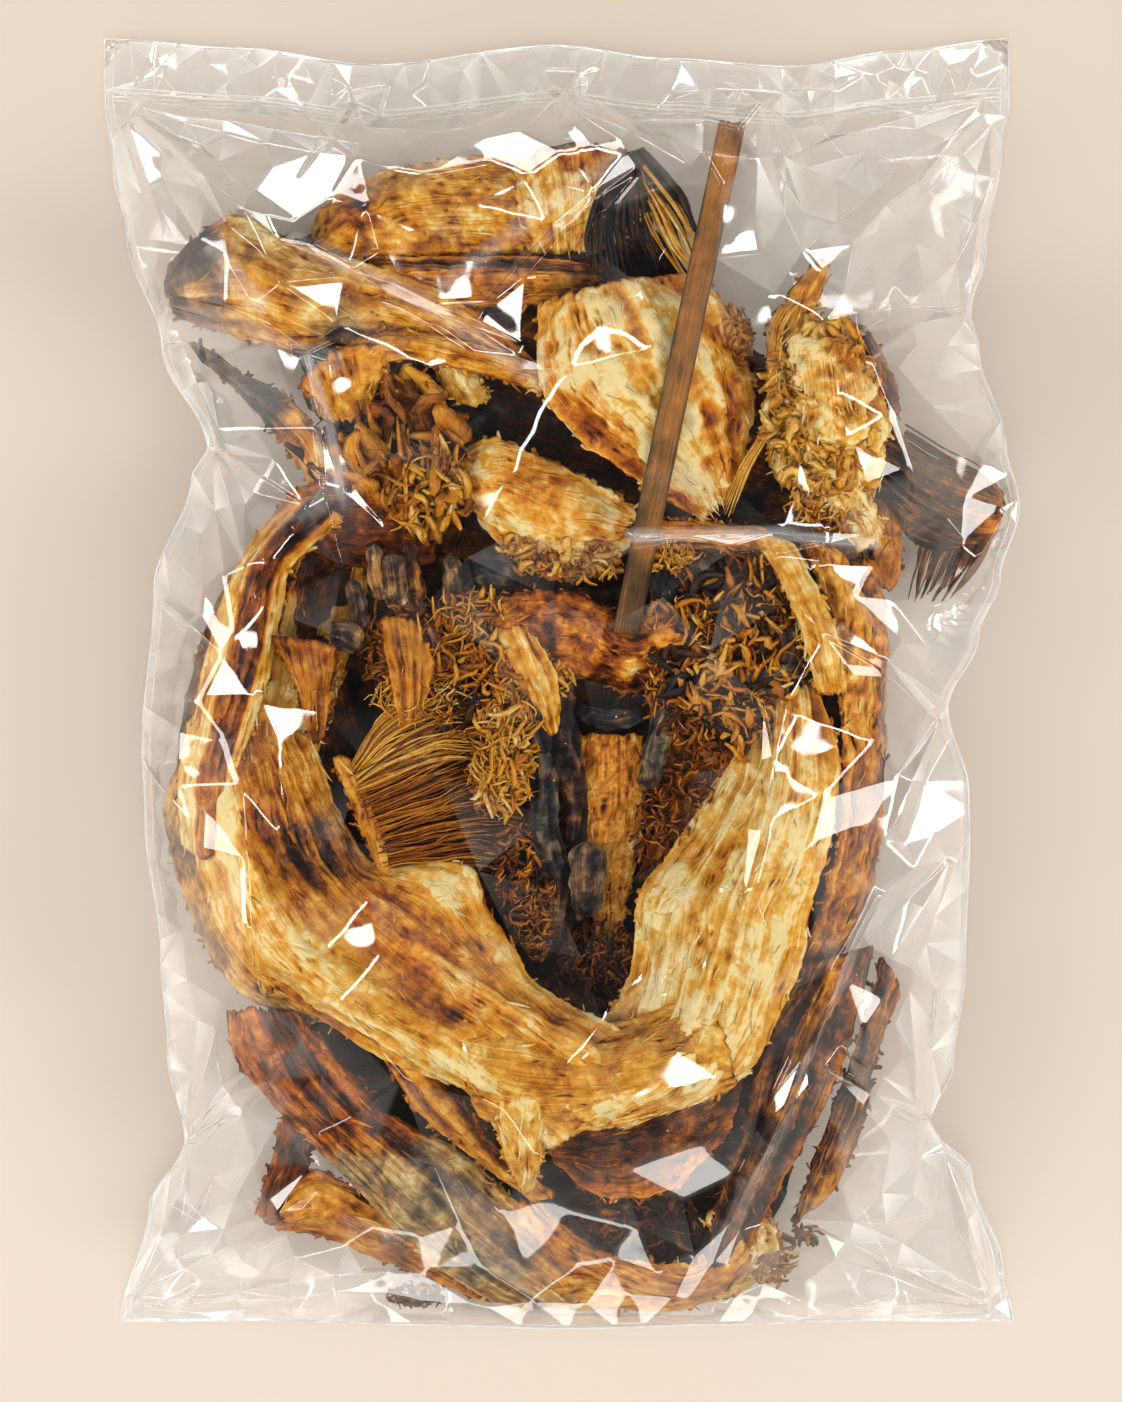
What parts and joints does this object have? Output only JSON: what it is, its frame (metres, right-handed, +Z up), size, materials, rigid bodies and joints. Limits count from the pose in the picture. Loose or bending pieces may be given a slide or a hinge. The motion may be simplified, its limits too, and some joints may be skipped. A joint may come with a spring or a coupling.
{
  "type": "dried stockfish in a sealed clear bag",
  "caption": "Flat press-to-close clear bag holding a dried cod head and dried fish pieces, lying on its back with film stretched over the lumps.",
  "frame": {"origin": "centre of the bag's footprint, on the surface that it lies on", "axes": "+X across the bag, +Y from the bottom seam to the zip, +Z up through the upper film"},
  "size_m": [0.321, 0.453, 0.108],
  "materials": {
    "clear_film": "clear crisp film with hard glossy folds",
    "golden_flesh": "dried amber fibrous flesh, waxy",
    "brown_skin": "dried brown and grey skin, matte to satin",
    "dark_gills": "dried dark gill fibres, matte",
    "grey_bone": "dull grey gill arches and stalks",
    "bamboo_slat": "flat olive-brown slat with a light grain"
  },
  "bodies": {
    "root": {"sealed_bag": "clear_film"}
  },
  "joints": []
}
